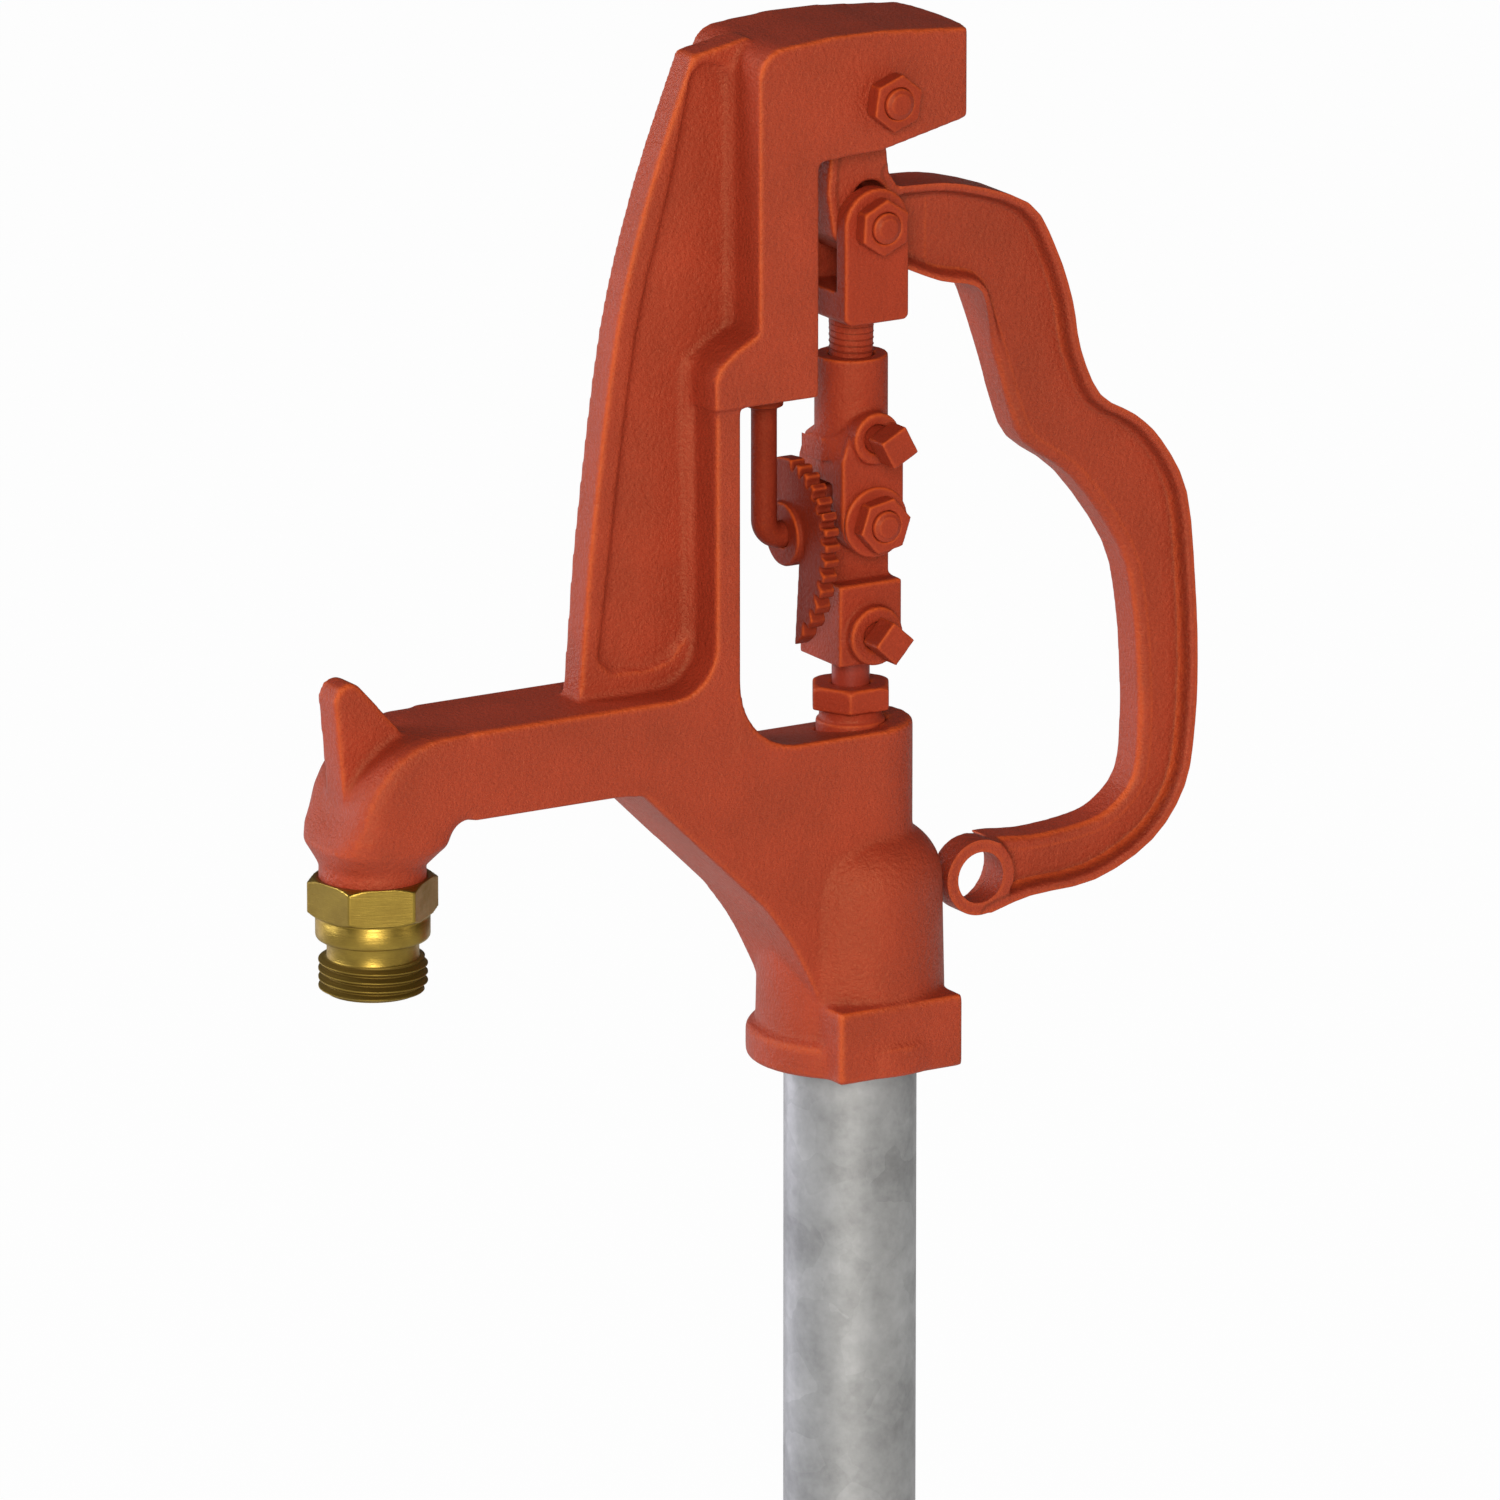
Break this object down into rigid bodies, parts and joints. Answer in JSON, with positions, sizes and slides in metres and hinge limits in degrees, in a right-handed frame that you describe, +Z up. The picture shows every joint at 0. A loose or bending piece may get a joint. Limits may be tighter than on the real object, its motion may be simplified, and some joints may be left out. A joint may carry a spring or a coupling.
{
  "type": "frost-free yard hydrant",
  "caption": "Frost-free yard hydrant: cast head with hose spout, over-centre hand lever and link, flow selector, riser pipe and buried self-draining valve.",
  "frame": {"origin": "centre of the inlet face at the foot of the buried valve body, on the riser axis", "axes": "+Z up along the riser; -X towards the spout outlet, +X towards the hand lever; -Y is the front, where the nuts are"},
  "size_m": [0.2502, 0.0524, 1.1559],
  "materials": {
    "cast": "satin paint over rough sand casting",
    "bolts": "satin paint over plated steel",
    "screws": "satin paint over steel",
    "bent_rod": "satin paint over bent steel bar",
    "brass": "as machined, slightly dull",
    "packing": "graphited packing",
    "rubber": "moulded rubber",
    "rod": "drawn bar, bright",
    "nylon": "moulded nylon",
    "pipe": "hot-dip galvanised with spangle"
  },
  "bodies": {
    "standpipe": {"head": "cast", "nozzle": "brass", "lever_bolt": "bolts", "lever_nut": "bolts", "cam_rod": "bent_rod", "cam_retainer": "bent_rod", "cam_spring": "bent_rod", "packing_nut": "bolts", "packing_washer": "brass", "packing": "packing", "casing_pipe": "pipe", "valve_body": "brass", "valve_seat": "brass", "drain_fitting": "brass"},
    "lever": {"handle": "cast"},
    "rod": {"rod_clamp": "cast", "clamp_set_screw": "screws", "link_bolt": "bolts", "link_washer": "bolts", "link_nut": "bolts", "upper_rod": "rod", "rod_coupling": "rod", "lower_rod": "rod", "rod_guide": "nylon", "plunger_stem": "brass", "plunger_rubber": "rubber", "plunger_washer": "brass", "plunger_nut": "brass", "upper_o_ring": "rubber", "lower_o_ring": "rubber"},
    "link": {"fork": "cast", "fork_bolt": "bolts", "fork_nut": "bolts", "link_sleeve": "cast", "link_set_screw": "screws"},
    "cam": {"flow_cam": "cast"}
  },
  "joints": [
    {"name": "lever_hinge", "type": "hinge", "parent": "standpipe", "child": "lever", "pos_m": [0.0005, 0, 1.138], "axis": [0, -1, 0], "range_deg": [0, 62]},
    {"name": "rod_slide", "type": "slide", "parent": "standpipe", "child": "rod", "axis": [0, 0, 1], "range_m": [0, 0.02247]},
    {"name": "link_hinge", "type": "hinge", "parent": "rod", "child": "link", "pos_m": [0, 0, 1.0298], "axis": [0, 1, 0], "range_deg": [0, 22.4]},
    {"name": "selector_hinge", "type": "hinge", "parent": "standpipe", "child": "cam", "pos_m": [-0.0166, 0, 1.0268], "axis": [-1, 0, 0], "range_deg": [0, 95]}
  ],
  "couplings": [
    {"joint": "rod_slide", "follows": "lever_hinge", "m_per_rad": 0.020758},
    {"joint": "link_hinge", "follows": "lever_hinge", "ratio": 0.36113}
  ]
}
